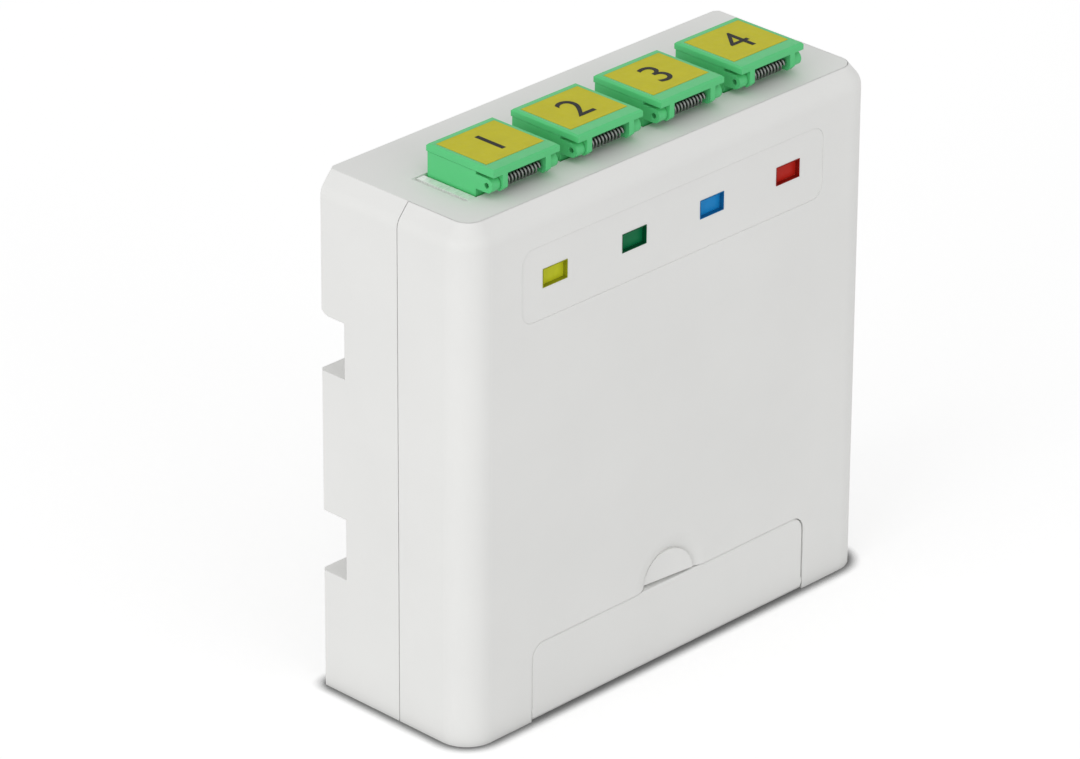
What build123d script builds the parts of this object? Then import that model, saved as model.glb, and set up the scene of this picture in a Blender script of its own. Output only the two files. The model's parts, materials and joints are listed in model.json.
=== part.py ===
# Fibre distribution box for a 35 mm top-hat rail, with four flap-covered couplers on its top.
# Frame: X across the front, +Y towards the back, +Z up, origin in the middle of the footprint.
# All sizes are in millimetres.

from build123d import *
import math
import os

os.makedirs("parts", exist_ok=True)

# Case
case_width = 75.0
case_depth = 26.4
case_height = 73.0
cover_depth = 12.2
seam_gap = 0.12
side_wall = 2.0
front_wall = 1.7
back_wall = 1.8
floor_wall = 1.8
top_slab = 2.4
slab_clearance = 0.05
corner_radius = 4.3
back_edge_chamfer = 0.5
band_side_inset = 2.0
band_front_inset = 1.7
band_drop = 2.3
band_edge_radius = 2.5

# Lip of the rear shell inside the front cover
lip_thickness = 0.9
lip_length = 1.6
lip_clearance = 0.1

# Notches and middle block that fit a 35 mm rail
notch_depth = 4.6
lower_notch_bottom = 16.9
lower_notch_top = 25.6
upper_notch_bottom = 45.6
upper_notch_top = 53.5
notch_corner_radius = 2.0
rail_thickness = 1.0
hook_gap = 0.2
hook_thickness = 2.0
hook_overlap = 1.6
hook_width = 24.0

# Sprung slider that holds the lower edge of the rail
latch_travel = 3.0
latch_width = 14.4
latch_thickness = 1.8
latch_neck_width = 10.8
latch_neck_thickness = 1.3
latch_clearance = 0.15
latch_bottom = 3.2
latch_housing_wall = 1.8
latch_window_width = 4.8
latch_window_top = 14.0
latch_seat_bottom = 6.4
latch_seat_top = 7.6
latch_seat_width = 2.8
latch_tip_chamfer = 2.0
driver_slot_width = 4.4
driver_slot_height = 1.2
latch_spring_radius = 1.15
latch_spring_groove = 0.25
latch_spring_bore = 0.75
latch_spring_coils = 6
latch_spring_end_gap = 0.05

# Label field and colour windows in the front
label_field_end = 4.1
label_field_height = 10.2
label_field_depth = 0.1
label_field_drop = 10.9
label_field_radius = 2.0
window_width = 4.4
window_height = 2.6
window_pitch = 14.3
window_shift = -0.35
window_drop = 10.45
marker_sink = 0.7
marker_clearance = 0.1
marker_flange = 1.0
marker_flange_thickness = 1.0

# Door along the bottom of the front, and the thumb pad in its round scoop above it
door_width = 51.2
door_height = 11.0
door_thickness = 1.6
door_gap = 0.12
door_corner_radius = 2.0
door_barrel_radius = 1.2
door_toe_radius = 0.6
door_top_chamfer = 0.2
door_pin_radius = 0.6
door_pin_length = 1.3
door_pin_clearance = 0.05
door_tab_length = 1.8
door_tab_width = 6.0
door_tab_thickness = 0.7
door_tab_drop = 1.7
door_tab_spacing = 24.0
door_ledge = 1.25
frame_thickness = 1.4
frame_border = 1.9
barrel_room = 0.5
scoop_radius = 6.5
scoop_depth = 0.8
pad_radius = 4.2
pad_gap = 0.4

# Screws behind the door that hold the cover to the shell
cover_screw_x = 21.5
cover_screw_z = 6.3
cover_screw_radius = 1.45
cover_screw_length = 8.0
cover_screw_head_radius = 2.5
cover_screw_head = 1.7
screw_clearance = 0.2
thread_clearance = 0.03
screw_cup_wall = 1.2
screw_cup_floor = 1.5
screw_cup_depth = 1.6
boss_radius = 3.1
boss_gap = 0.1
pilot_extra = 1.0
driver_recess = 0.9

# Small bores and springs that are modelled with flat sides
small_sides = 8

# Reach of a cutter past the face that it opens, and how near counts as the same place
cut_past = 1.0
same_place = 0.01

# Hooks of the cover under the top slab
cover_hook_x = 24.0
cover_hook_width = 7.0
cover_hook_reach = 1.9
cover_hook_height = 2.1
cover_hook_gap = 0.1

# Couplers in a row on the top slab
port_pitch = 15.0
port_end_room = 5.5
port_back_room = 3.55
recess_end = 8.1
recess_depth = 0.4
cutout_width = 13.2
cutout_depth = 9.5
body_width = 12.9
body_depth = 9.2
body_length = 27.2
head_width = 11.6
head_depth = 8.5
head_height = 3.2
socket_width = 9.2
socket_depth = 7.6
ring_width = 8.2
ring_depth = 6.6
ring_height = 0.8
keyway_width = 2.2
keyway_height = 5.2

# Steel clip that holds a coupler in its cut-out
clip_sheet = 0.3
clip_groove = 0.35
clip_leg_depth = 5.6
clip_leg_length = 8.8
clip_ear_reach = 7.4
clip_strap_drop = 2.6
clip_strap_width = 5.0
clip_tongue_width = 3.0
clip_tongue_reach = 0.95
clip_tongue_gap = 0.3
clip_edge_gap = 0.05

# Latch insert and ceramic sleeve inside a coupler
web_thickness = 2.2
web_clearance = 0.05
tube_radius = 2.3
tube_bore = 1.62
tube_length = 12.4
tube_lip = 0.5
tube_lip_bore = 1.3
arm_thickness = 0.8
arm_width = 3.0
arm_outer = 4.0
arm_length = 7.5
arm_hook = 0.5
arm_hook_height = 1.0
sleeve_radius = 1.6
sleeve_bore = 1.25
sleeve_length = 11.2
sleeve_slit = 0.4

# Flap with its hinge at the front of the coupler
flap_width = 11.7
flap_front_reach = 7.45
flap_back_reach = 4.45
flap_thickness = 1.0
flap_gap = 0.05
flap_edge_chamfer = 0.25
hinge_reach = 6.15
hinge_drop = 1.35
ear_width = 1.45
knuckle_radius = 1.0
knuckle_width = 0.9
knuckle_gap = 0.1
knuckle_chamfer = 0.55
pin_radius = 0.35
pin_inset = 0.7
ear_bore_clearance = 0.02
knuckle_bore_clearance = 0.05
label_width = 10.2
label_depth = 8.8
label_shift = 0.5
label_thickness = 0.12
label_recess = 0.1
label_clearance = 0.05
spring_radius = 0.95
spring_groove = 0.2
spring_bore = 0.5
spring_coils = 7
spring_end_gap = 0.1

# Splice comb on the floor of the middle block
comb_guide_room = 4.7
comb_height = 14.6
comb_plate = 1.2
comb_rib_height = 4.6
comb_rib_thickness = 0.8
comb_rib_length = 6.0
comb_slots = 4
comb_slot_pitch = 3.4
comb_end = 3.0
comb_group_count = 3
peg_size = 2.2
peg_height = 2.2
peg_spacing = 17.0
peg_clearance = 0.05

# Curved guides for the fibre slack
guide_radius = 13.5
guide_thickness = 1.2
guide_wall_room = 3.0
guide_span = 90.0
guide_port_room = 0.4

# Cable entries in the floor, and the tie saddles above them
entry_housing_room = 0.45
entry_radius = 2.75
entry_counterbore = 3.8
entry_counterbore_depth = 1.0
grommet_clearance = 0.05
grommet_bore = 1.5
grommet_flange_radius = 3.7
grommet_lip_radius = 3.4
grommet_flange_top = 0.8
saddle_width = 4.5
saddle_height = 3.0
saddle_middle = 12.7
tie_slot_depth = 1.2
tie_slot_height = 2.0
cable_room = 3.1

# Places that follow from the sizes
front_y = -case_depth / 2
back_y = case_depth / 2
seam_y = front_y + cover_depth
half_width = case_width / 2
slab_bottom = case_height - top_slab
notch_floor = back_y - notch_depth
inner_back = back_y - back_wall
inner_notch = notch_floor - back_wall
block_middle = (lower_notch_top + upper_notch_bottom) / 2
recess_floor = case_height - recess_depth
port_count = int((case_width - 2 * port_end_room) / port_pitch)
port_y = inner_notch - port_back_room - body_depth / 2
port_positions = [(number - (port_count - 1) / 2) * port_pitch for number in range(port_count)]
recess_width = (port_count - 1) * port_pitch + 2 * recess_end
clip_strap_top = recess_floor - clip_strap_drop
clip_strap_bottom = clip_strap_top - clip_strap_width
head_top = case_height + head_height
body_bottom = head_top - body_length
body_middle = (head_top + body_bottom) / 2
hinge_y = port_y - hinge_reach
hinge_z = head_top - hinge_drop
flap_bottom = head_top + flap_gap
flap_top = flap_bottom + flap_thickness
door_axis_y = front_y + door_barrel_radius
door_axis_z = door_barrel_radius
opening_half_width = door_width / 2 + door_gap
label_field_width = (port_count - 1) * window_pitch + window_width + 2 * label_field_end
label_field_centre = case_height - label_field_drop
window_centre = case_height - window_drop
window_positions = [
    window_shift + (number - (port_count - 1) / 2) * window_pitch for number in range(port_count)
]
latch_front = notch_floor + rail_thickness + hook_gap
latch_back = latch_front + latch_thickness
latch_mouth = latch_back + latch_neck_thickness
latch_top = lower_notch_bottom + latch_travel
latch_window_bottom = latch_seat_bottom - latch_clearance
inner_half_width = half_width - side_wall
latch_half_width = latch_width / 2
housing_half_width = latch_half_width + latch_clearance + latch_housing_wall
entry_x = housing_half_width + entry_housing_room + entry_counterbore
entry_y = (seam_y + inner_back) / 2
guide_centre = inner_half_width - guide_wall_room - guide_radius
guide_front = port_y + body_depth / 2 + guide_port_room
guide_end_x = guide_centre + (guide_radius - guide_thickness) * math.cos(math.radians(guide_span / 2))
comb_width = 2 * (guide_end_x - comb_guide_room)
comb_group_pitch = (comb_width - comb_rib_length - 2 * comb_end) / (comb_group_count - 1)


def save(part, name):
    """Label one finished piece and write its file."""
    part.label = name
    export_step(part, f"parts/{name}.step")


def save_at_ports(part, name):
    """Write one copy of a coupler piece for each port."""
    for number, port_x in enumerate(port_positions, start=1):
        save(part.moved(Location((port_x, 0, 0))), f"{name}_{number}")


def block(x_low, x_high, y_low, y_high, z_low, z_high, mode=Mode.ADD):
    """Extrude a rectangle between three pairs of limits into the part being built."""
    with BuildSketch(Plane.XY.offset(z_low)) as outline:
        with Locations(((x_low + x_high) / 2, (y_low + y_high) / 2)):
            Rectangle(x_high - x_low, y_high - y_low)
    extrude(outline.sketch, amount=z_high - z_low, mode=mode)


def rod(x, z, y_start, y_end, radius, mode=Mode.ADD):
    """Extrude a circle along +Y into the part being built."""
    with BuildSketch(Plane.XZ.offset(-y_start)) as outline:
        with Locations((x, z)):
            Circle(radius)
    extrude(outline.sketch, amount=y_start - y_end, mode=mode)


def axle(y, z, x_start, x_end, radius, mode=Mode.ADD):
    """Extrude a circle along +X into the part being built."""
    with BuildSketch(Plane.YZ.offset(x_start)) as outline:
        with Locations((y, z)):
            Circle(radius)
    extrude(outline.sketch, amount=x_end - x_start, mode=mode)


def flat_sided_bore(y, z, x_start, x_end, radius):
    """Cut a small bore with flat sides along +X, its flats at the radius."""
    with BuildSketch(Plane.YZ.offset(x_start)) as outline:
        with Locations((y, z)):
            RegularPolygon(radius, small_sides, major_radius=False)
    extrude(outline.sketch, amount=x_end - x_start, mode=Mode.SUBTRACT)


def ribbed_sleeve(start, axis_direction, length, coils, radius, groove, bore):
    """A spring as a flat-sided sleeve with one rib for each coil, from a start point along an axis."""
    with BuildPart() as sleeve:
        rings = []
        for number in range(2 * coils + 1):
            place = start + axis_direction * (number * length / (2 * coils))
            with BuildSketch(Plane(origin=place, z_dir=axis_direction)) as ring:
                RegularPolygon(radius if number % 2 else radius - groove, small_sides)
            rings.append(ring.sketch)
        loft(rings, ruled=True)
        with BuildSketch(Plane(origin=start, z_dir=axis_direction)) as hollow:
            RegularPolygon(bore, small_sides)
        extrude(hollow.sketch, amount=length, mode=Mode.SUBTRACT)
    return sleeve.part


def stem(x, y, z_start, z_end, radius, mode=Mode.ADD):
    """Extrude a circle along +Z into the part being built."""
    with BuildSketch(Plane.XY.offset(z_start)) as outline:
        with Locations((x, y)):
            Circle(radius)
    extrude(outline.sketch, amount=z_end - z_start, mode=mode)


def edges_at_height(builder, height):
    """Edges of the part being built that lie at a height."""
    return builder.edges().filter_by_position(Axis.Z, height - same_place, height + same_place)


def case_plan(height, side_inset, front_inset):
    """Sketch the outline of the case at a height, drawn in at the sides and the front."""
    width = case_width - 2 * side_inset
    depth = case_depth - front_inset
    with BuildSketch(Plane.XY.offset(height)) as plan:
        with Locations((0, back_y - depth / 2)):
            Rectangle(width, depth)
        fillet(plan.vertices().group_by(Axis.Y)[0], corner_radius - side_inset)
    return plan.sketch


# Outer form of the closed case
with BuildPart() as case_form:
    extrude(case_plan(0, 0, 0), amount=case_height - band_drop)
    band_sections = [
        case_plan(case_height - band_drop, 0, 0),
        case_plan(case_height, band_side_inset, band_front_inset),
    ]
    loft(band_sections, ruled=True)
    fillet(edges_at_height(case_form, case_height - band_drop), band_edge_radius)
    upright = case_form.edges().filter_by(Axis.Z).group_by(Axis.Y)[-1]
    chamfer(upright, back_edge_chamfer)
    for low, high in ((lower_notch_bottom, lower_notch_top), (upper_notch_bottom, upper_notch_top)):
        block(
            -half_width - cut_past,
            half_width + cut_past,
            notch_floor,
            back_y + cut_past,
            low,
            high,
            Mode.SUBTRACT,
        )
    block_corner = edges_at_height(case_form, upper_notch_top).filter_by(Axis.X).sort_by(Axis.Y)[-1]
    fillet(block_corner, notch_corner_radius)


# Rear shell: back of the case, top slab, rail notches, inner posts and guides
neck_half_width = latch_neck_width / 2
channel_front = latch_front - latch_clearance
channel_back = latch_back + latch_clearance
latch_middle = (latch_front + latch_mouth) / 2
cup_floor = front_y + front_wall + frame_thickness + screw_cup_depth
cup_back = cup_floor + screw_cup_floor
boss_front = cup_back + boss_gap
saddle_front = entry_y + cable_room / 2
clip_half_width = body_width / 2 - clip_edge_gap

with BuildPart() as rear_shell:
    add(case_form.part)
    split(bisect_by=Plane((0, seam_y + seam_gap / 2, 0), z_dir=(0, 1, 0)), keep=Keep.TOP)

    # Top slab, which reaches forward between the walls of the cover
    slab_front = front_y + band_front_inset + slab_clearance
    slab_width = case_width - 2 * (band_side_inset + slab_clearance)
    with BuildSketch(Plane.XY.offset(slab_bottom)) as slab_plan:
        with Locations((0, (slab_front + seam_y + side_wall) / 2)):
            Rectangle(slab_width, seam_y + side_wall - slab_front)
        fillet(slab_plan.vertices().group_by(Axis.Y)[0], corner_radius - band_side_inset)
    extrude(amount=top_slab)

    # Inside of the case, stepped round the two notches
    with BuildSketch(Plane.YZ.offset(-inner_half_width)):
        with BuildLine():
            Polyline(
                (seam_y, floor_wall),
                (inner_back, floor_wall),
                (inner_back, lower_notch_bottom - back_wall),
                (inner_notch, lower_notch_bottom - back_wall),
                (inner_notch, lower_notch_top + back_wall),
                (inner_back, lower_notch_top + back_wall),
                (inner_back, upper_notch_bottom - back_wall),
                (inner_notch, upper_notch_bottom - back_wall),
                (inner_notch, upper_notch_top + back_wall),
                (inner_back, upper_notch_top + back_wall),
                (inner_back, slab_bottom),
                (seam_y, slab_bottom),
                close=True,
            )
        make_face()
    extrude(amount=2 * inner_half_width, mode=Mode.SUBTRACT)

    # Lip that enters the cover along the sides and the floor
    lip_half_width = inner_half_width + lip_thickness
    with BuildSketch(Plane.XZ.offset(-seam_y - lip_length)):
        with Locations((0, (floor_wall - lip_thickness + slab_bottom) / 2)):
            Rectangle(2 * lip_half_width, slab_bottom - floor_wall + lip_thickness)
        with Locations((0, (floor_wall + slab_bottom) / 2)):
            Rectangle(2 * inner_half_width, slab_bottom - floor_wall, mode=Mode.SUBTRACT)
    extrude(amount=2 * lip_length)

    # Fixed hook over the upper edge of the rail
    block(
        -hook_width / 2,
        hook_width / 2,
        latch_front,
        latch_front + hook_thickness,
        upper_notch_top - hook_overlap,
        upper_notch_top + hook_overlap / 2,
    )

    # Housing and channel of the rail latch, with the seat of its spring
    block(
        -housing_half_width,
        housing_half_width,
        channel_front - latch_housing_wall,
        inner_back + back_wall / 2,
        0,
        lower_notch_bottom,
    )
    channel_half_width = latch_half_width + latch_clearance
    mouth_half_width = neck_half_width + latch_clearance
    channel_top = lower_notch_bottom + cut_past
    block(
        -channel_half_width,
        channel_half_width,
        channel_front,
        channel_back,
        -cut_past,
        channel_top,
        Mode.SUBTRACT,
    )
    block(
        -mouth_half_width,
        mouth_half_width,
        channel_back,
        back_y + cut_past,
        -cut_past,
        channel_top,
        Mode.SUBTRACT,
    )
    block(
        -latch_seat_width / 2,
        latch_seat_width / 2,
        channel_front - latch_housing_wall / 2,
        latch_mouth - latch_clearance,
        latch_seat_bottom,
        latch_seat_top,
    )

    # Bosses for the cover screws, saddles for cable ties, pegs for the comb
    for side in (-1, 1):
        rod(side * cover_screw_x, cover_screw_z, inner_back + back_wall / 2, boss_front, boss_radius)
        rod(
            side * cover_screw_x,
            cover_screw_z,
            boss_front,
            cup_floor + cover_screw_length + pilot_extra,
            cover_screw_radius + thread_clearance,
            Mode.SUBTRACT,
        )
        saddle_left = side * entry_x - saddle_width / 2
        saddle_right = side * entry_x + saddle_width / 2
        block(
            saddle_left,
            saddle_right,
            saddle_front,
            inner_back + back_wall / 2,
            saddle_middle - saddle_height / 2,
            saddle_middle + saddle_height / 2,
        )
        block(
            saddle_left,
            saddle_right,
            saddle_front + tie_slot_depth,
            saddle_front + 2 * tie_slot_depth,
            saddle_middle - tie_slot_height / 2,
            saddle_middle + tie_slot_height / 2,
            Mode.SUBTRACT,
        )
        block(
            side * peg_spacing / 2 - peg_size / 2,
            side * peg_spacing / 2 + peg_size / 2,
            inner_back - peg_height,
            inner_back + back_wall / 2,
            block_middle - peg_size / 2,
            block_middle + peg_size / 2,
        )

    # Curved guides that keep the fibre slack from bending tightly
    for side, first_angle in ((1, -guide_span / 2), (-1, 180 - guide_span / 2)):
        with BuildSketch(Plane.XZ.offset(-inner_back - back_wall / 2)):
            with BuildLine():
                centre = (side * guide_centre, block_middle)
                outer = CenterArc(centre, guide_radius, first_angle, guide_span)
                inner = CenterArc(centre, guide_radius - guide_thickness, first_angle, guide_span)
                Line(outer @ 0, inner @ 0)
                Line(outer @ 1, inner @ 1)
            make_face()
        extrude(amount=inner_back + back_wall / 2 - guide_front)

    # Recess along the top slab with the cut-outs of the couplers
    with BuildSketch(Plane.XY.offset(recess_floor)):
        with Locations((0, port_y)):
            Rectangle(recess_width, cutout_depth)
    extrude(amount=recess_depth, mode=Mode.SUBTRACT)
    with BuildSketch(Plane.XY.offset(slab_bottom)):
        with Locations([(port_x, port_y) for port_x in port_positions]):
            Rectangle(cutout_width, cutout_depth)
    extrude(amount=top_slab, mode=Mode.SUBTRACT)

    # Cable entries in the floor
    for side in (-1, 1):
        stem(side * entry_x, entry_y, 0, floor_wall, entry_radius, Mode.SUBTRACT)
        stem(side * entry_x, entry_y, 0, entry_counterbore_depth, entry_counterbore, Mode.SUBTRACT)
save(rear_shell.part, "rear_shell")


# Room in front of the thumb pad, whose face slopes from the bottom of the scoop up to the front
scoop_z = door_height + door_gap
scoop_floor = front_y + scoop_depth

with BuildPart() as pad_room:
    rod(0, scoop_z, front_y - cut_past, scoop_floor, pad_radius)
    pad_face = Plane((pad_radius, front_y, scoop_z), z_dir=(scoop_depth, 2 * pad_radius, 0))
    split(bisect_by=pad_face, keep=Keep.BOTTOM)


# Front cover: front of the case with its sloped rim
with BuildPart() as front_cover:
    add(case_form.part)
    split(bisect_by=Plane((0, seam_y - seam_gap / 2, 0), z_dir=(0, 1, 0)), keep=Keep.BOTTOM)

    # Inside of the cover, open at the top where the slab lies
    inner_front = front_y + front_wall
    with BuildSketch(Plane.XY.offset(floor_wall)) as inner_plan:
        with Locations((0, (inner_front + seam_y) / 2)):
            Rectangle(2 * inner_half_width, seam_y - inner_front)
        fillet(inner_plan.vertices().group_by(Axis.Y)[0], corner_radius - band_side_inset)
    extrude(amount=case_height - floor_wall, mode=Mode.SUBTRACT)

    # Rebate for the lip of the shell
    rebate_half_width = lip_half_width + lip_clearance
    rebate_bottom = floor_wall - lip_thickness - lip_clearance
    block(
        -rebate_half_width,
        rebate_half_width,
        seam_y - lip_length - lip_clearance,
        seam_y,
        rebate_bottom,
        slab_bottom,
        Mode.SUBTRACT,
    )

    # Frame behind the door, cups for the cover screws
    frame_back = inner_front + frame_thickness
    frame_top = door_height + door_gap + frame_border
    frame_half_width = opening_half_width + frame_border
    clear_half_width = opening_half_width - door_ledge
    clear_top = door_height + door_gap - door_ledge
    clear_bottom = 2 * door_barrel_radius + barrel_room
    cup_inner = cover_screw_x - (clear_half_width - cover_screw_x) - screw_clearance
    cup_outer = clear_half_width + door_ledge
    block(
        -frame_half_width,
        frame_half_width,
        inner_front - front_wall / 2,
        frame_back,
        floor_wall / 2,
        frame_top,
    )
    for side in (-1, 1):
        cup_limits = sorted((side * (cup_inner - screw_cup_wall), side * cup_outer))
        block(*cup_limits, frame_back - frame_thickness / 2, cup_back, floor_wall / 2, frame_top)
    block(-clear_half_width, clear_half_width, front_y, frame_back, floor_wall, clear_top, Mode.SUBTRACT)
    for side in (-1, 1):
        cup_limits = sorted((side * cup_inner, side * clear_half_width))
        block(*cup_limits, front_y, cup_floor, clear_bottom, clear_top, Mode.SUBTRACT)
        rod(
            side * cover_screw_x,
            cover_screw_z,
            cup_floor,
            cup_back,
            cover_screw_radius + screw_clearance,
            Mode.SUBTRACT,
        )

    # Opening for the door, room for its barrel, holes for its pins
    with BuildSketch(Plane.XZ.offset(-front_y)) as opening:
        with Locations((0, (door_height + door_gap) / 2)):
            Rectangle(2 * opening_half_width, door_height + door_gap)
        fillet(opening.vertices().group_by(Axis.Y)[-1], door_corner_radius + door_gap)
    extrude(amount=-door_thickness - door_gap, mode=Mode.SUBTRACT)
    block(
        -opening_half_width,
        opening_half_width,
        front_y,
        front_y + clear_bottom,
        0,
        clear_bottom,
        Mode.SUBTRACT,
    )
    pin_hole_end = door_width / 2 + door_pin_length + door_gap
    flat_sided_bore(
        door_axis_y, door_axis_z, -pin_hole_end, pin_hole_end, door_pin_radius + door_pin_clearance
    )

    # Scoop above the door: half of a dished ring round the pad
    with BuildSketch(Plane.XY.offset(scoop_z)):
        with BuildLine():
            Polyline(
                (pad_radius, scoop_floor),
                (pad_radius, front_y - cut_past),
                (scoop_radius, front_y - cut_past),
                (scoop_radius, front_y),
            )
            TangentArc((scoop_radius, front_y), (pad_radius, scoop_floor), tangent=(-1, 0))
        make_face()
    revolve(axis=Axis((0, 0, scoop_z), (0, 1, 0)), mode=Mode.SUBTRACT)
    add(pad_room.part, mode=Mode.SUBTRACT)
    block(
        -pad_radius,
        pad_radius,
        front_y,
        scoop_floor + pad_gap,
        scoop_z,
        door_height + pad_gap,
        Mode.SUBTRACT,
    )

    # Label field and colour windows
    with BuildSketch(Plane.XZ.offset(-front_y)):
        with Locations((0, label_field_centre)):
            RectangleRounded(label_field_width, label_field_height, label_field_radius)
    extrude(amount=-label_field_depth, mode=Mode.SUBTRACT)
    with BuildSketch(Plane.XZ.offset(-front_y)):
        with Locations([(window_x, window_centre) for window_x in window_positions]):
            Rectangle(window_width, window_height)
    extrude(amount=-front_wall, mode=Mode.SUBTRACT)

    # Hooks that grip under the top slab
    for side in (-1, 1):
        block(
            side * cover_hook_x - cover_hook_width / 2,
            side * cover_hook_x + cover_hook_width / 2,
            inner_front - front_wall / 2,
            inner_front + cover_hook_reach,
            slab_bottom - cover_hook_gap - cover_hook_height,
            slab_bottom - cover_hook_gap,
        )
save(front_cover.part, "front_cover")


# Access door with its barrel, hinge pins and two inner tabs
with BuildPart() as access_door:
    with BuildSketch(Plane.XZ.offset(-front_y)) as door_face:
        with Locations((0, door_height / 2)):
            Rectangle(door_width, door_height)
        fillet(door_face.vertices().group_by(Axis.Y)[-1], door_corner_radius)
    extrude(amount=-door_thickness)
    toe = access_door.edges().filter_by(Axis.X).group_by(Axis.Z)[0].sort_by(Axis.Y)[0]
    fillet(toe, door_toe_radius)
    top_edge = access_door.edges().filter_by(Axis.X).group_by(Axis.Z)[-1].sort_by(Axis.Y)[0]
    chamfer(top_edge, door_top_chamfer)
    axle(door_axis_y, door_axis_z, -door_width / 2, door_width / 2, door_barrel_radius)
    pin_end = door_width / 2 + door_pin_length
    axle(door_axis_y, door_axis_z, -pin_end, pin_end, door_pin_radius)
    for side in (-1, 1):
        block(
            side * door_tab_spacing / 2 - door_tab_width / 2,
            side * door_tab_spacing / 2 + door_tab_width / 2,
            front_y + door_thickness / 2,
            front_y + door_thickness + door_tab_length,
            door_height - door_tab_drop - door_tab_thickness,
            door_height - door_tab_drop,
        )
save(access_door.part, "access_door")


# Colour markers, each a chip with a flange behind its window
marker_colours = ["yellow", "green", "blue", "red", "white", "grey"]
for window_x, colour in zip(window_positions, marker_colours):
    with BuildPart() as colour_marker:
        with BuildSketch(Plane.XZ.offset(-front_y - marker_sink)):
            with Locations((window_x, window_centre)):
                Rectangle(window_width - 2 * marker_clearance, window_height - 2 * marker_clearance)
        extrude(amount=marker_sink - front_wall)
        with BuildSketch(Plane.XZ.offset(-inner_front)):
            with Locations((window_x, window_centre)):
                Rectangle(window_width + 2 * marker_flange, window_height + 2 * marker_flange)
        extrude(amount=-marker_flange_thickness)
    save(colour_marker.part, f"colour_marker_{colour}")


# Coupler body with its head, hinge ears, socket and the groove for its clip
head_front = port_y - head_depth / 2
ear_outer = head_width / 2
ear_inner = ear_outer - ear_width

with BuildPart() as adapter_body:
    with BuildSketch(Plane.XY.offset(body_bottom)):
        with Locations((0, port_y)):
            Rectangle(body_width, body_depth)
    extrude(amount=recess_floor - body_bottom)
    with BuildSketch(Plane.XY.offset(recess_floor)):
        with Locations((0, port_y)):
            Rectangle(head_width, head_depth)
    extrude(amount=head_top - recess_floor)

    # Socket from end to end, with two rings that trap the latch insert
    with BuildSketch(Plane.XY.offset(body_bottom)):
        with Locations((0, port_y)):
            Rectangle(socket_width, socket_depth)
    extrude(amount=body_length, mode=Mode.SUBTRACT)
    web_half = web_thickness / 2
    for ring_bottom in (body_middle + web_half, body_middle - web_half - ring_height):
        with BuildSketch(Plane.XY.offset(ring_bottom)):
            with Locations((0, port_y)):
                Rectangle(socket_width, socket_depth)
                Rectangle(ring_width, ring_depth, mode=Mode.SUBTRACT)
        extrude(amount=ring_height)

    # Keyway of the plug, open through the back wall of the head
    block(
        -keyway_width / 2,
        keyway_width / 2,
        port_y + ring_depth / 2,
        port_y + body_depth / 2,
        head_top - keyway_height,
        head_top,
        Mode.SUBTRACT,
    )

    # Hinge ears in front of the head
    for ear_start in (-ear_outer, ear_inner):
        with BuildSketch(Plane.YZ.offset(ear_start)):
            with Locations((hinge_y, hinge_z)):
                Circle(knuckle_radius)
            with Locations(((hinge_y + head_front) / 2, hinge_z)):
                Rectangle(head_front - hinge_y, 2 * knuckle_radius)
        extrude(amount=ear_width)
    flat_sided_bore(hinge_y, hinge_z, -ear_outer, ear_outer, pin_radius + ear_bore_clearance)

    # Grooves for the clip on both sides and round the back
    groove_floor = body_width / 2 - clip_groove
    leg_front = port_y - clip_leg_depth / 2
    leg_back = port_y + clip_leg_depth / 2
    body_back = port_y + body_depth / 2
    leg_bottom = recess_floor - clip_leg_length
    for side in (-1, 1):
        groove_limits = sorted((side * groove_floor, side * body_width / 2))
        block(
            *groove_limits,
            leg_front - clip_edge_gap,
            leg_back + clip_edge_gap,
            leg_bottom - clip_edge_gap,
            recess_floor,
            Mode.SUBTRACT,
        )
        block(
            *groove_limits,
            leg_front - clip_edge_gap,
            body_back,
            clip_strap_bottom - clip_edge_gap,
            clip_strap_top + clip_edge_gap,
            Mode.SUBTRACT,
        )
    block(
        -body_width / 2,
        body_width / 2,
        body_back - clip_groove,
        body_back,
        clip_strap_bottom - clip_edge_gap,
        clip_strap_top + clip_edge_gap,
        Mode.SUBTRACT,
    )
save_at_ports(adapter_body.part, "adapter_body")


# Steel clip: two legs with ears on the recess floor, locking tongues, and a strap round the back
clip_inner = clip_half_width - clip_sheet
tongue_tip = clip_half_width + clip_tongue_reach
strap_back = body_back - clip_edge_gap

with BuildPart() as adapter_clip:
    for side in (-1, 1):
        leg_limits = sorted((side * clip_inner, side * clip_half_width))
        ear_limits = sorted((side * clip_inner, side * clip_ear_reach))
        block(*leg_limits, leg_front, leg_back, leg_bottom, recess_floor)
        block(*leg_limits, leg_front, strap_back, clip_strap_bottom, clip_strap_top)
        block(
            *ear_limits,
            port_y - body_depth / 2,
            port_y + body_depth / 2,
            recess_floor,
            recess_floor + clip_sheet,
        )
        with BuildSketch(Plane.XZ.offset(-port_y - clip_tongue_width / 2)):
            with BuildLine():
                Polyline(
                    (side * clip_half_width, leg_bottom),
                    (side * tongue_tip, slab_bottom - clip_tongue_gap),
                    (side * (tongue_tip - clip_sheet), slab_bottom - clip_tongue_gap),
                    (side * clip_half_width, leg_bottom + 2 * clip_sheet),
                    (side * (clip_half_width - clip_sheet / 2), leg_bottom + clip_sheet),
                    (side * (clip_half_width - clip_sheet / 2), leg_bottom),
                    close=True,
                )
            make_face()
        extrude(amount=clip_tongue_width)
    block(
        -clip_half_width,
        clip_half_width,
        strap_back - clip_sheet,
        strap_back,
        clip_strap_bottom,
        clip_strap_top,
    )
save_at_ports(adapter_clip.part, "adapter_clip")


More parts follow.
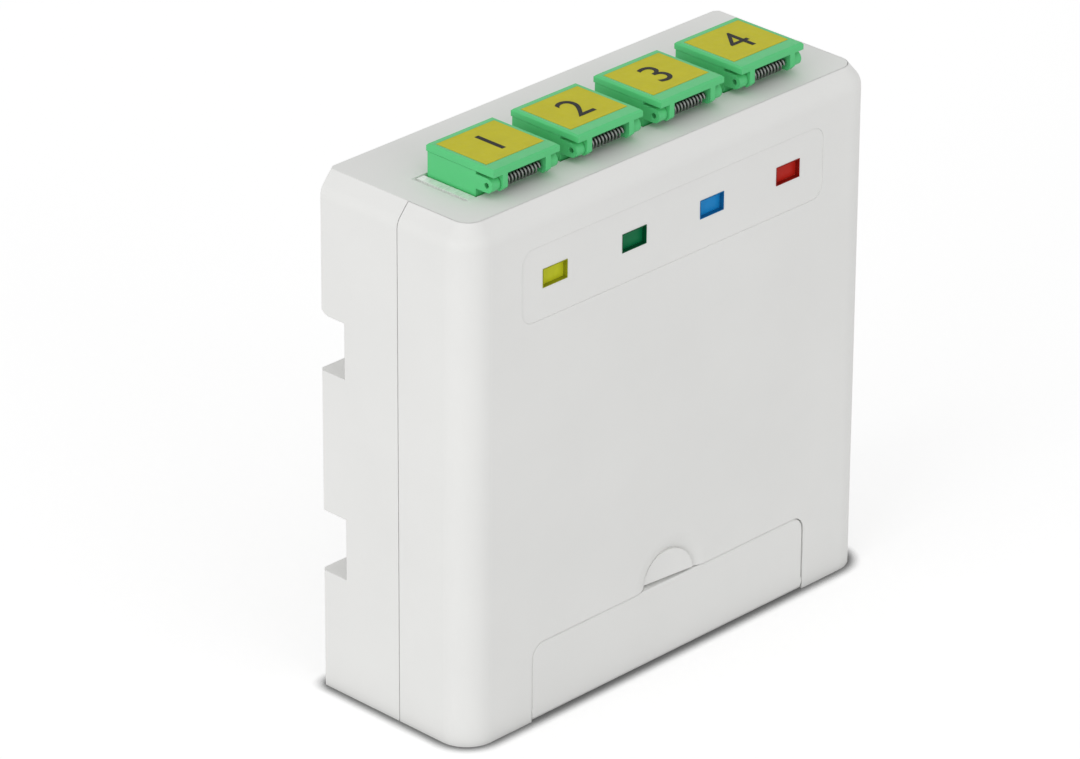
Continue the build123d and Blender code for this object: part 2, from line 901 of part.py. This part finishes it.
# Latch insert: a web with the sleeve tube through it and two hooked arms at each end
with BuildPart() as sleeve_holder:
    web_bottom = body_middle - web_half
    with BuildSketch(Plane.XY.offset(web_bottom)):
        with Locations((0, port_y)):
            Rectangle(socket_width - 2 * web_clearance, socket_depth - 2 * web_clearance)
    extrude(amount=web_thickness)
    with BuildSketch(Plane.XY.offset(body_middle - tube_length / 2)):
        with Locations((0, port_y)):
            RegularPolygon(tube_radius, small_sides)
    extrude(amount=tube_length)
    for end in (-1, 1):
        for side in (-1, 1):
            arm_base = body_middle + end * web_half
            arm_tip = arm_base + end * arm_length
            hook_base = arm_tip - end * arm_hook_height
            arm_limits = sorted((side * arm_outer, side * (arm_outer - arm_thickness)))
            hook_limits = sorted((side * arm_outer, side * (arm_outer - arm_thickness - arm_hook)))
            arm_sides = (port_y - arm_width / 2, port_y + arm_width / 2)
            block(*arm_limits, *arm_sides, *sorted((arm_base, arm_tip)))
            block(*hook_limits, *arm_sides, *sorted((hook_base, arm_tip)))
    for half_length, bore in ((tube_length / 2 - tube_lip, tube_bore), (tube_length / 2, tube_lip_bore)):
        with BuildSketch(Plane.XY.offset(body_middle - half_length)):
            with Locations((0, port_y)):
                RegularPolygon(bore, small_sides, major_radius=False)
        extrude(amount=2 * half_length, mode=Mode.SUBTRACT)
save_at_ports(sleeve_holder.part, "sleeve_holder")


# Split ceramic sleeve that aligns the two ferrules
with BuildPart() as ceramic_sleeve:
    sleeve_bottom = body_middle - sleeve_length / 2
    with BuildSketch(Plane.XY.offset(sleeve_bottom)):
        with Locations((0, port_y)):
            Circle(sleeve_radius)
            Circle(sleeve_bore, mode=Mode.SUBTRACT)
        with Locations((0, port_y + sleeve_radius)):
            Rectangle(sleeve_slit, 2 * (sleeve_radius - sleeve_bore) + sleeve_slit, mode=Mode.SUBTRACT)
    extrude(amount=sleeve_length)
save_at_ports(ceramic_sleeve.part, "ceramic_sleeve")


# Flap: plate with a label recess and two knuckles level with its front
knuckle_outer = ear_inner - knuckle_gap
knuckle_inner = knuckle_outer - knuckle_width
knuckle_bottom = hinge_z - knuckle_radius
plate_front = port_y - flap_front_reach
plate_back = port_y + flap_back_reach
plate_middle = (plate_front + plate_back) / 2
label_y = plate_middle + label_shift

with BuildPart() as shutter_flap:
    with BuildSketch(Plane.XY.offset(flap_bottom)):
        with Locations((0, plate_middle)):
            Rectangle(flap_width, plate_back - plate_front)
    extrude(amount=flap_thickness)
    chamfer(shutter_flap.faces().sort_by(Axis.Z)[-1].edges(), flap_edge_chamfer)
    with BuildSketch(Plane.XY.offset(flap_top - label_recess)):
        with Locations((0, label_y)):
            Rectangle(label_width + 2 * label_clearance, label_depth + 2 * label_clearance)
    extrude(amount=label_recess, mode=Mode.SUBTRACT)
    for knuckle_start in (-knuckle_outer, knuckle_inner):
        with BuildSketch(Plane.YZ.offset(knuckle_start)):
            with Locations((hinge_y, hinge_z)):
                Circle(knuckle_radius)
            with BuildLine():
                Polyline(
                    (hinge_y + knuckle_radius, flap_bottom),
                    (plate_front, flap_bottom),
                    (plate_front, knuckle_bottom + knuckle_chamfer),
                    (plate_front + knuckle_chamfer, knuckle_bottom),
                    (hinge_y, knuckle_bottom),
                    (hinge_y + knuckle_radius, hinge_z),
                    close=True,
                )
            make_face()
        extrude(amount=knuckle_width)
    flat_sided_bore(hinge_y, hinge_z, -knuckle_outer, knuckle_outer, pin_radius + knuckle_bore_clearance)
save_at_ports(shutter_flap.part, "shutter_flap")


# Label in the recess of the flap
with BuildPart() as flap_label:
    with BuildSketch(Plane.XY.offset(flap_top - label_recess)):
        with Locations((0, label_y)):
            Rectangle(label_width, label_depth)
    extrude(amount=label_thickness)
save_at_ports(flap_label.part, "flap_label")


# Hinge pin through the ears and knuckles
with BuildPart() as flap_pin:
    axle(hinge_y, hinge_z, pin_inset - ear_outer, ear_outer - pin_inset, pin_radius)
save_at_ports(flap_pin.part, "flap_pin")


# Close-wound torsion spring round the pin
coil_end = knuckle_inner - spring_end_gap
flap_spring = ribbed_sleeve(
    Vector(-coil_end, hinge_y, hinge_z),
    Vector(1, 0, 0),
    2 * coil_end,
    spring_coils,
    spring_radius,
    spring_groove,
    spring_bore,
)
save_at_ports(flap_spring, "flap_spring")


# Comb that holds the fibre splices, on two pegs of the shell
with BuildPart() as splice_holder:
    with BuildSketch(Plane.XZ.offset(-inner_back)):
        with Locations((0, block_middle)):
            Rectangle(comb_width, comb_height)
        with Locations((-peg_spacing / 2, block_middle), (peg_spacing / 2, block_middle)):
            Rectangle(peg_size + 2 * peg_clearance, peg_size + 2 * peg_clearance, mode=Mode.SUBTRACT)
    extrude(amount=comb_plate)
    with BuildSketch(Plane.XZ.offset(comb_plate - inner_back)):
        with Locations((0, block_middle)):
            with GridLocations(comb_group_pitch, comb_slot_pitch, comb_group_count, comb_slots + 1):
                Rectangle(comb_rib_length, comb_rib_thickness)
    extrude(amount=comb_rib_height)
save(splice_holder.part, "splice_holder")


# Rubber grommets in the cable entries
for side, name in ((-1, "left"), (1, "right")):
    with BuildPart() as cable_grommet:
        with BuildSketch(Plane.XZ.offset(-entry_y)):
            with BuildLine():
                Polyline(
                    (grommet_bore, 0),
                    (grommet_flange_radius, 0),
                    (grommet_flange_radius, entry_counterbore_depth),
                    (entry_radius - grommet_clearance, entry_counterbore_depth),
                    (entry_radius - grommet_clearance, floor_wall),
                    (grommet_lip_radius, floor_wall),
                    (grommet_lip_radius, floor_wall + grommet_flange_top),
                    (grommet_bore, floor_wall + grommet_flange_top),
                    close=True,
                )
            make_face()
        revolve(axis=Axis((0, entry_y, 0), (0, 0, 1)))
    save(cable_grommet.part.moved(Location((side * entry_x, 0, 0))), f"cable_grommet_{name}")


# Screws that hold the cover, with a cross recess in each head
with BuildPart() as cover_screws:
    recess_half = cover_screw_head_radius / 2
    recess_slot = cover_screw_head_radius / 8
    head_front_y = cup_floor - cover_screw_head
    for side in (-1, 1):
        screw_x = side * cover_screw_x
        rod(screw_x, cover_screw_z, cup_floor, cup_floor + cover_screw_length, cover_screw_radius)
        rod(screw_x, cover_screw_z, head_front_y, cup_floor, cover_screw_head_radius)
        for half_x, half_z in ((recess_half, recess_slot), (recess_slot, recess_half)):
            block(
                screw_x - half_x,
                screw_x + half_x,
                head_front_y,
                head_front_y + driver_recess,
                cover_screw_z - half_z,
                cover_screw_z + half_z,
                Mode.SUBTRACT,
            )
save(cover_screws.part, "cover_screws")


# Rail latch: a slider with a hook at its top, a window for the spring and a driver slot
with BuildPart() as rail_latch:
    block(-latch_half_width, latch_half_width, latch_front, latch_back, latch_bottom, latch_top)
    block(-neck_half_width, neck_half_width, latch_back, latch_mouth, latch_bottom, latch_top)
    block(
        -latch_window_width / 2,
        latch_window_width / 2,
        latch_front,
        latch_mouth,
        latch_window_bottom,
        latch_window_top,
        Mode.SUBTRACT,
    )
    slot_bottom = latch_bottom + driver_slot_height / 2
    block(
        -driver_slot_width / 2,
        driver_slot_width / 2,
        latch_front,
        latch_mouth,
        slot_bottom,
        slot_bottom + driver_slot_height,
        Mode.SUBTRACT,
    )
    tip = rail_latch.edges().filter_by(Axis.X).group_by(Axis.Z)[-1].sort_by(Axis.Y)[-1]
    chamfer(tip, latch_tip_chamfer)
save(rail_latch.part, "rail_latch")


# Compression spring between the seat in the channel and the top of the latch window
latch_spring = ribbed_sleeve(
    Vector(0, latch_middle, latch_seat_top + latch_spring_end_gap),
    Vector(0, 0, 1),
    latch_window_top - latch_seat_top - 2 * latch_spring_end_gap,
    latch_spring_coils,
    latch_spring_radius,
    latch_spring_groove,
    latch_spring_bore,
)
save(latch_spring, "latch_spring")
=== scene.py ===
# Looks of the fibre distribution box, built around its CAD frame. Lengths are in metres.

import json
import math

import bpy
from mathutils import Matrix, Vector


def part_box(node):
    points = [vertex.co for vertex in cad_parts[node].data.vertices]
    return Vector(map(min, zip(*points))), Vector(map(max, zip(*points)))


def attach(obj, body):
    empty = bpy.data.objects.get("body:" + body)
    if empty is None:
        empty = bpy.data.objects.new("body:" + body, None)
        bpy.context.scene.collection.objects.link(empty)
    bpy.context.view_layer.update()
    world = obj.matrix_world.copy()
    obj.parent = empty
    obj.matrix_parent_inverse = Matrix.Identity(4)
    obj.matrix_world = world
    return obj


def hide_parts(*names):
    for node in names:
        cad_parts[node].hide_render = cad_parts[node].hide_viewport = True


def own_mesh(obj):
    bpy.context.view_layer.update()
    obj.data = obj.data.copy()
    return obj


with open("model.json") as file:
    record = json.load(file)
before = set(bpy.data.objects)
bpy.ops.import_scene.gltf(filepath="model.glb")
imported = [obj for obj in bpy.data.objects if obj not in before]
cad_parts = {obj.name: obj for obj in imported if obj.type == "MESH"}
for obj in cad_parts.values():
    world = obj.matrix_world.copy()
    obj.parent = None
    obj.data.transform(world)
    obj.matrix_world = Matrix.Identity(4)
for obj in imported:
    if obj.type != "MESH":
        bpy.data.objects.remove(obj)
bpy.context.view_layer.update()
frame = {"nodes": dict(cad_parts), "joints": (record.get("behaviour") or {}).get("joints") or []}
nodes = frame["nodes"]
joints = {joint["name"]: joint for joint in frame["joints"]}
port_numbers = (1, 2, 3, 4)
back = Vector((0, 1, 0))
up = Vector((0, 0, 1))

# Camera: place, angles and focal length fitted to the photograph
camera_place = Vector((-0.54775, -0.52466, 0.41200))
camera_azimuth = math.radians(-45.653)
camera_elevation = math.radians(26.402)
camera_roll = math.radians(0.295)
camera_focal_px = 6516.7
camera_near_limit = 0.01
photo_width_px = 1080
sensor_width_mm = 36.0

# Light: soft surroundings and two square lamps that look at the middle of the case
surround_strength = 0.725
lamp_target = Vector((0.0, 0.0, 0.04))
lamp_distance = 1.6
lamp_size = 1.2

# Floor, whose glow lifts it to white for the camera
floor_half_width = 4.0
floor_grey = 0.80
floor_glow = 0.37

# Painted contact shadow: a dark line that the floor shows along the foot of the case, darker where the case
# closes in on the floor
contact_reach = 0.0020
painted_contact_shade = 0.17
contact_core = 0.62
contact_samples = 12

# Span of a noise pattern that carries a change of colour, and of roughness
tint_start = 0.3
tint_end = 0.7
sheen_start = 0.25
sheen_end = 0.75

# Samples that ease the edges of moulded plastic
edge_samples = 6

# Springs wound from wire
points_per_turn = 20
flap_wire_radius = 0.00016
flap_coil_radius = 0.00078
flap_spring_turns = 9.75
flap_leg_length = 0.0016
flap_leg_gap = 0.00001
leg_steps = 4
latch_wire_radius = 0.00018
latch_coil_radius = 0.00094
latch_spring_turns = 7.0

# Raised rim of each colour marker, which lines its window up to the front; its colour is the marker's
# colour darkened by a factor, as painted shade on the window walls
window_width = 0.0044
window_height = 0.0026
rim_gap = 0.00001
rim_thickness = 0.00008
rim_length = 0.00067
# Factor that darkens each rim's colour, as painted shade
rim_painted_shade = 0.55

# Printed port number on each label, and the font size that gives a figure its height
number_height = 0.0052
number_thickness = 0.00002
font_size_per_height = 1.38


# Materials
class Shader:
    """A node material with one surface shader and helpers for procedural detail."""

    def __init__(self, name):
        self.material = bpy.data.materials.new(name)
        self.material.use_nodes = True
        self.tree = self.material.node_tree
        self.principled = self.tree.nodes["Principled BSDF"]
        coordinates = self.tree.nodes.new("ShaderNodeTexCoord")
        self.position = coordinates.outputs["Object"]

    def link(self, source, target):
        self.tree.links.new(source, target)

    def set(self, **values):
        for name, value in values.items():
            self.principled.inputs[name.replace("_", " ")].default_value = value

    def stretched(self, scale):
        mapping = self.tree.nodes.new("ShaderNodeMapping")
        mapping.inputs["Scale"].default_value = scale
        self.link(self.position, mapping.inputs["Vector"])
        return mapping.outputs["Vector"]

    def noise(self, scale, detail=2.0, roughness=0.5, vector=None):
        noise = self.tree.nodes.new("ShaderNodeTexNoise")
        noise.inputs["Scale"].default_value = scale
        noise.inputs["Detail"].default_value = detail
        noise.inputs["Roughness"].default_value = roughness
        self.link(vector or self.position, noise.inputs["Vector"])
        return noise.outputs["Fac"]

    def tint(self, factor, darker, lighter):
        """Let the colour follow a factor."""
        ramp = self.tree.nodes.new("ShaderNodeValToRGB")
        first, last = ramp.color_ramp.elements
        first.position = tint_start
        first.color = (*darker, 1.0)
        last.position = tint_end
        last.color = (*lighter, 1.0)
        self.link(factor, ramp.inputs["Fac"])
        self.link(ramp.outputs["Color"], self.principled.inputs["Base Color"])

    def sheen(self, factor, smoothest, roughest):
        """Let the roughness follow a factor."""
        span = self.tree.nodes.new("ShaderNodeMapRange")
        span.inputs["From Min"].default_value = sheen_start
        span.inputs["From Max"].default_value = sheen_end
        span.inputs["To Min"].default_value = smoothest
        span.inputs["To Max"].default_value = roughest
        self.link(factor, span.inputs["Value"])
        self.link(span.outputs["Result"], self.principled.inputs["Roughness"])

    def bump(self, height, depth, strength, edge_radius=0.0):
        """Raise the surface by a height pattern, and ease its edges where a radius is given."""
        bump = self.tree.nodes.new("ShaderNodeBump")
        bump.inputs["Strength"].default_value = strength
        bump.inputs["Distance"].default_value = depth
        self.link(height, bump.inputs["Height"])
        if edge_radius:
            rounding = self.tree.nodes.new("ShaderNodeBevel")
            rounding.samples = edge_samples
            rounding.inputs["Radius"].default_value = edge_radius
            self.link(rounding.outputs["Normal"], bump.inputs["Normal"])
        self.link(bump.outputs["Normal"], self.principled.inputs["Normal"])


def shades(colour, spread):
    """A colour a little darker and a little lighter."""
    darker = tuple(channel * (1 - spread) for channel in colour)
    lighter = tuple(min(1.0, channel * (1 + spread)) for channel in colour)
    return darker, lighter


def moulded_plastic(name, colour, roughness, edge_radius, grain=0.000012, spread=0.015):
    """Injection-moulded plastic with an eroded grain, faint flow clouds and eased edges."""
    shader = Shader(name)
    shader.tint(shader.noise(scale=60.0, detail=3.0), *shades(colour, spread))
    shader.sheen(shader.noise(scale=900.0), smoothest=roughness - 0.05, roughest=roughness + 0.05)
    texture = shader.noise(scale=5200.0, roughness=0.6)
    shader.bump(texture, depth=grain, strength=0.6, edge_radius=edge_radius)
    return shader


def steel(name, colour, roughness, stretch, metallic=1.0):
    """Drawn or rolled steel with fine lines along its working direction."""
    shader = Shader(name)
    lines = shader.noise(scale=900.0, detail=3.0, roughness=0.6, vector=shader.stretched(stretch))
    shader.tint(lines, *shades(colour, spread=0.12))
    shader.sheen(lines, smoothest=roughness - 0.08, roughest=roughness + 0.08)
    shader.set(Metallic=metallic)
    shader.bump(lines, depth=0.000004, strength=0.5)
    return shader


def label_film(name, colour):
    """Printed film: a smooth ink field with faint unevenness."""
    shader = Shader(name)
    shader.tint(shader.noise(scale=420.0, detail=4.0, roughness=0.6), *shades(colour, spread=0.04))
    shader.sheen(shader.noise(scale=1500.0), smoothest=0.45, roughest=0.58)
    shader.set(Specular_IOR_Level=0.15)
    shader.bump(shader.noise(scale=2600.0), depth=0.000006, strength=0.4)
    return shader


def marker_plastic(name, colour):
    """Tinted plastic chip with a satin surface."""
    shader = Shader(name)
    shader.tint(shader.noise(scale=800.0, detail=3.0), *shades(colour, spread=0.05))
    shader.set(Roughness=0.40, Specular_IOR_Level=0.12)
    shader.bump(shader.noise(scale=3000.0), depth=0.000006, strength=0.4)
    return shader


case_white = moulded_plastic("case_white", (0.82, 0.82, 0.805), roughness=0.58, edge_radius=0.00010)
case_white.set(Specular_IOR_Level=0.3)
latch_grey = moulded_plastic("latch_grey", (0.40, 0.41, 0.42), roughness=0.45, edge_radius=0.00015)
holder_white = moulded_plastic("holder_white", (0.82, 0.82, 0.78), roughness=0.40, edge_radius=0.00010)
coupler_green = moulded_plastic(
    "coupler_green", (0.103, 0.590, 0.216), roughness=0.40, edge_radius=0.00012, grain=0.000008, spread=0.03
)
coupler_green.set(Subsurface_Weight=0.08, Subsurface_Scale=0.0006, Subsurface_Radius=(0.3, 1.0, 0.4))
coupler_green.set(Specular_IOR_Level=0.3)
clip_steel = steel("clip_steel", (0.88, 0.88, 0.87), roughness=0.62, stretch=(1.0, 6.0, 0.2), metallic=0.45)
spring_steel = steel("spring_steel", (0.22, 0.235, 0.22), roughness=0.38, stretch=(0.2, 4.0, 4.0))
# Pin steel made near black as painted shade, so the gaps between the spring coils read dark
pin_painted_shade_steel = steel("pin_painted_shade_steel", (0.07, 0.07, 0.07), roughness=0.50, stretch=(0.2, 4.0, 4.0))
screw_steel = steel("screw_steel", (0.56, 0.57, 0.59), roughness=0.36, stretch=(2.0, 0.4, 2.0))
label_yellow = label_film("label_yellow", (0.575, 0.53, 0.016))
number_ink = label_film("number_ink", (0.012, 0.011, 0.009))

ceramic = Shader("ceramic")
ceramic.tint(ceramic.noise(scale=700.0), (0.84, 0.83, 0.80), (0.90, 0.89, 0.86))
ceramic.set(Roughness=0.18, IOR=1.7)

rubber = Shader("grommet_black")
rubber.tint(rubber.noise(scale=1200.0), (0.022, 0.022, 0.023), (0.034, 0.034, 0.035))
rubber.set(Roughness=0.75)
rubber.bump(rubber.noise(scale=5000.0), depth=0.00002, strength=0.5)

marker_colours = {
    "yellow": (0.56, 0.59, 0.020),
    "green": (0.003, 0.165, 0.058),
    "blue": (0.012, 0.255, 0.620),
    "red": (0.500, 0.018, 0.010),
}
marker_materials = {
    name: marker_plastic(f"marker_{name}", colour) for name, colour in marker_colours.items()
}
# Each rim's material is its marker colour darkened: painted shade on the window walls
rim_painted_shade_materials = {
    name: marker_plastic(f"marker_painted_shade_rim_{name}", tuple(channel * rim_painted_shade for channel in colour))
    for name, colour in marker_colours.items()
}


# Materials of the CAD nodes, by the start of their names
def dress(piece, shader):
    """Give a piece its material."""
    piece.data.materials.clear()
    piece.data.materials.append(shader.material)


for prefix, shader in (
    ("rear_shell", case_white),
    ("front_cover", case_white),
    ("access_door", case_white),
    ("splice_holder", case_white),
    ("rail_latch", latch_grey),
    ("adapter_body", coupler_green),
    ("shutter_flap", coupler_green),
    ("sleeve_holder", holder_white),
    ("ceramic_sleeve", ceramic),
    ("adapter_clip", clip_steel),
    ("flap_pin", pin_painted_shade_steel),
    ("flap_spring", spring_steel),
    ("latch_spring", spring_steel),
    ("flap_label", label_yellow),
    ("cover_screws", screw_steel),
    ("cable_grommet", rubber),
):
    for name, node in nodes.items():
        if name.startswith(prefix):
            dress(node, shader)
for colour, shader in marker_materials.items():
    dress(nodes[f"colour_marker_{colour}"], shader)


# Helpers for new pieces
def place_in_scene(name, data):
    """A new object in the scene."""
    placed = bpy.data.objects.new(name, data)
    bpy.context.scene.collection.objects.link(placed)
    return placed


def add_piece(name, mesh, shader):
    """A new piece with its material."""
    piece = place_in_scene(name, mesh)
    dress(piece, shader)
    return piece


def finished_mesh(outline):
    """The mesh of a curve or of lettering."""
    holder = place_in_scene(outline.name, outline)
    bpy.context.view_layer.update()
    mesh = bpy.data.meshes.new_from_object(holder.evaluated_get(bpy.context.evaluated_depsgraph_get()))
    bpy.data.objects.remove(holder)
    return mesh


def wire(name, points, radius, shader):
    """A round wire along points, as a mesh."""
    curve = bpy.data.curves.new(name + "_path", "CURVE")
    curve.dimensions = "3D"
    curve.bevel_depth = radius
    curve.bevel_resolution = 2
    curve.use_fill_caps = True
    spline = curve.splines.new("POLY")
    spline.points.add(len(points) - 1)
    for spline_point, point in zip(spline.points, points):
        spline_point.co = (*point, 1.0)
    mesh = finished_mesh(curve)
    mesh.shade_smooth()
    return add_piece(name, mesh, shader)


def wound(start, end, side, coil_radius, turns, first_turn=0.0):
    """Points of a helix from a start to an end; a turn of zero lies towards the side vector."""
    along = (end - start).normalized()
    across = along.cross(side)
    steps = round(turns * points_per_turn)
    points = []
    for step in range(steps + 1):
        angle = 2 * math.pi * (first_turn + step / points_per_turn)
        middle = start.lerp(end, step / steps)
        points.append(middle + coil_radius * (side * math.cos(angle) + across * math.sin(angle)))
    return points


def straight(start, direction, length):
    """Points of a straight leg, from its start."""
    return [start + direction * (length * step / leg_steps) for step in range(leg_steps + 1)]


# Torsion springs: a coil with its lower leg on the coupler, and an upper leg under the flap
for number in port_numbers:
    node_name = f"flap_spring_{number}"
    low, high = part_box(node_name)
    hinge = Vector(joints[f"flap_{number}_hinge"]["pos_m"])
    start = Vector((low.x + flap_wire_radius, hinge.y, hinge.z))
    leg_end = Vector((high.x - flap_wire_radius, hinge.y, hinge.z))
    end = leg_end - Vector((2 * flap_wire_radius + flap_leg_gap, 0, 0))
    coil = wound(start, end, up, flap_coil_radius, flap_spring_turns, first_turn=0.5)
    lower_leg = straight(coil[0], back, flap_leg_length)
    spring = wire(f"wound_spring_{number}", lower_leg[:0:-1] + coil, flap_wire_radius, spring_steel)
    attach(spring, "case")
    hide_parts(node_name)
    leg = straight(leg_end + up * flap_coil_radius, back, flap_leg_length)
    upper_leg = wire(f"spring_leg_{number}", leg, flap_wire_radius, spring_steel)
    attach(upper_leg, f"flap_{number}")

# Compression spring of the rail latch, which in the real latch shortens as the latch is pulled down; here
# it is one fixed coil on the case
low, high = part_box("latch_spring")
middle_x = (low.x + high.x) / 2
middle_y = (low.y + high.y) / 2
start = Vector((middle_x, middle_y, low.z + latch_wire_radius))
end = Vector((middle_x, middle_y, high.z - latch_wire_radius))
coil = wound(start, end, back, latch_coil_radius, latch_spring_turns)
latch_coil = wire("wound_latch_spring", coil, latch_wire_radius, spring_steel)
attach(latch_coil, "case")
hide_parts("latch_spring")
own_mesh(latch_coil)

# Rims of the colour markers: four thin walls round each window, from the chip to the front, in a darkened
# marker colour that is painted shade.
# A rim has four rings of four corners: an outer and an inner one at the chip, and the same at the front.
outer_x = window_width / 2 - rim_gap
outer_z = window_height / 2 - rim_gap
inner_x = outer_x - rim_thickness
inner_z = outer_z - rim_thickness
corner_sides = ((-1, -1), (1, -1), (1, 1), (-1, 1))
outer_chip, inner_chip, outer_front, inner_front = (ring * len(corner_sides) for ring in range(4))
for colour, shader in rim_painted_shade_materials.items():
    low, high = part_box(f"colour_marker_{colour}")
    centre = (low + high) / 2
    corners = []
    for depth in (low.y, low.y - rim_length):
        for half_x, half_z in ((outer_x, outer_z), (inner_x, inner_z)):
            for side_x, side_z in corner_sides:
                corners.append((centre.x + side_x * half_x, depth, centre.z + side_z * half_z))
    walls = []
    for this in range(len(corner_sides)):
        after = (this + 1) % len(corner_sides)
        walls.append((outer_chip + this, outer_chip + after, outer_front + after, outer_front + this))
        walls.append((inner_front + this, inner_front + after, inner_chip + after, inner_chip + this))
        walls.append((outer_front + this, outer_front + after, inner_front + after, inner_front + this))
        walls.append((inner_chip + this, inner_chip + after, outer_chip + after, outer_chip + this))
    mesh = bpy.data.meshes.new(f"marker_painted_shade_rim_{colour}")
    mesh.from_pydata(corners, [], walls)
    mesh.validate()
    rim = add_piece(f"marker_painted_shade_rim_{colour}", mesh, shader)
    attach(rim, "case")

# Port numbers printed on the labels
for number in port_numbers:
    low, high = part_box(f"flap_label_{number}")
    lettering = bpy.data.curves.new(f"port_number_{number}_text", "FONT")
    lettering.body = str(number)
    lettering.size = number_height * font_size_per_height
    lettering.align_x = "CENTER"
    lettering.align_y = "CENTER"
    lettering.extrude = number_thickness / 2
    mesh = finished_mesh(lettering)
    xs = [vertex.co.x for vertex in mesh.vertices]
    ys = [vertex.co.y for vertex in mesh.vertices]
    middle = Vector(((min(xs) + max(xs)) / 2, (min(ys) + max(ys)) / 2, 0))
    place = Vector(((low.x + high.x) / 2, (low.y + high.y) / 2, high.z + number_thickness / 2))
    mesh.transform(Matrix.Translation(place - middle))
    printed = add_piece(f"port_number_{number}", mesh, number_ink)
    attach(printed, f"flap_{number}")


# Floor, light and camera
def seen_directly(tree):
    """1 for rays from the camera, also by reflection or through a clear piece, and 0 for the rest."""
    rays = tree.nodes.new("ShaderNodeLightPath")
    seen = rays.outputs["Is Camera Ray"]
    for kind in ("Is Glossy Ray", "Is Transmission Ray"):
        either = tree.nodes.new("ShaderNodeMath")
        either.operation = "MAXIMUM"
        tree.links.new(seen, either.inputs[0])
        tree.links.new(rays.outputs[kind], either.inputs[1])
        seen = either.outputs[0]
    return seen


def scaled(tree, value, factor):
    """A value times a number."""
    product = tree.nodes.new("ShaderNodeMath")
    product.operation = "MULTIPLY"
    tree.links.new(value, product.inputs[0])
    product.inputs[1].default_value = factor
    return product.outputs[0]


def white_light(tree, kind, strength=1.0):
    """A shader that gives white light."""
    light = tree.nodes.new(kind)
    light.inputs["Color"].default_value = (1.0, 1.0, 1.0, 1.0)
    light.inputs["Strength"].default_value = strength
    return light


def plain_floor():
    """A pale floor that takes the shadow of the object, carries a painted contact shadow along its foot,
    and reads as white to the camera.
    """
    half = floor_half_width
    corners = [(-half, -half, 0), (half, -half, 0), (half, half, 0), (-half, half, 0)]
    mesh = bpy.data.meshes.new("floor")
    mesh.from_pydata(corners, [], [(0, 1, 2, 3)])
    floor = place_in_scene("floor", mesh)
    material = bpy.data.materials.new("floor")
    material.use_nodes = True
    tree = material.node_tree
    tree.nodes.clear()

    # Painted contact shadow: the floor's glow and grey are darkened where the case is near
    near = tree.nodes.new("ShaderNodeAmbientOcclusion")
    near.samples = contact_samples
    near.inputs["Distance"].default_value = contact_reach
    contact = tree.nodes.new("ShaderNodeMapRange")
    contact.inputs["From Min"].default_value = contact_core
    contact.inputs["From Max"].default_value = 1.0
    contact.inputs["To Min"].default_value = painted_contact_shade
    contact.inputs["To Max"].default_value = 1.0
    tree.links.new(near.outputs["AO"], contact.inputs["Value"])

    shaded = tree.nodes.new("ShaderNodeMath")
    shaded.operation = "MULTIPLY"
    tree.links.new(scaled(tree, seen_directly(tree), floor_glow), shaded.inputs[0])
    tree.links.new(contact.outputs["Result"], shaded.inputs[1])
    glow = white_light(tree, "ShaderNodeEmission")
    tree.links.new(shaded.outputs[0], glow.inputs["Strength"])
    diffuse = tree.nodes.new("ShaderNodeBsdfDiffuse")
    tree.links.new(scaled(tree, contact.outputs["Result"], floor_grey), diffuse.inputs["Color"])

    both = tree.nodes.new("ShaderNodeAddShader")
    tree.links.new(diffuse.outputs[0], both.inputs[0])
    tree.links.new(glow.outputs[0], both.inputs[1])
    output = tree.nodes.new("ShaderNodeOutputMaterial")
    tree.links.new(both.outputs[0], output.inputs["Surface"])
    mesh.materials.append(material)


def studio_world():
    """Soft surrounding light, seen as white by the camera and in reflections."""
    world = bpy.data.worlds.new("studio")
    bpy.context.scene.world = world
    world.use_nodes = True
    tree = world.node_tree
    tree.nodes.clear()
    soft = white_light(tree, "ShaderNodeBackground", surround_strength)
    white = white_light(tree, "ShaderNodeBackground")
    pick = tree.nodes.new("ShaderNodeMixShader")
    tree.links.new(seen_directly(tree), pick.inputs["Fac"])
    tree.links.new(soft.outputs[0], pick.inputs[1])
    tree.links.new(white.outputs[0], pick.inputs[2])
    output = tree.nodes.new("ShaderNodeOutputWorld")
    tree.links.new(pick.outputs[0], output.inputs["Surface"])


def softbox(name, direction, power):
    """A square area light that looks at the object from a direction."""
    light = bpy.data.lights.new(name, "AREA")
    light.shape = "SQUARE"
    light.size = lamp_size
    light.energy = power
    lamp = place_in_scene(name, light)
    lamp.location = lamp_target + Vector(direction).normalized() * lamp_distance
    lamp.rotation_euler = (lamp_target - lamp.location).to_track_quat("-Z", "Y").to_euler()


def photo_camera():
    """The camera that took the photograph, in the frame of the part."""
    sin_azimuth, cos_azimuth = math.sin(camera_azimuth), math.cos(camera_azimuth)
    sin_elevation, cos_elevation = math.sin(camera_elevation), math.cos(camera_elevation)
    backwards = Vector((sin_azimuth * cos_elevation, -cos_azimuth * cos_elevation, sin_elevation))
    level = up.cross(backwards).normalized()
    upward = backwards.cross(level)
    right = level * math.cos(camera_roll) + upward * math.sin(camera_roll)
    top = upward * math.cos(camera_roll) - level * math.sin(camera_roll)
    lens = bpy.data.cameras.new("camera")
    lens.sensor_fit = "HORIZONTAL"
    lens.sensor_width = sensor_width_mm
    lens.lens = camera_focal_px / photo_width_px * sensor_width_mm
    lens.clip_start = camera_near_limit
    camera = place_in_scene("camera", lens)
    rotation = Matrix((right, top, backwards)).transposed().to_4x4()
    camera.matrix_world = Matrix.Translation(camera_place) @ rotation
    bpy.context.scene.camera = camera


plain_floor()
studio_world()
softbox("left_light", direction=(-1.0, -0.1, 0.15), power=9.6)
softbox("front_light", direction=(-0.1, -1.0, 0.15), power=4.2)
photo_camera()
bpy.context.scene.view_settings.view_transform = "Standard"
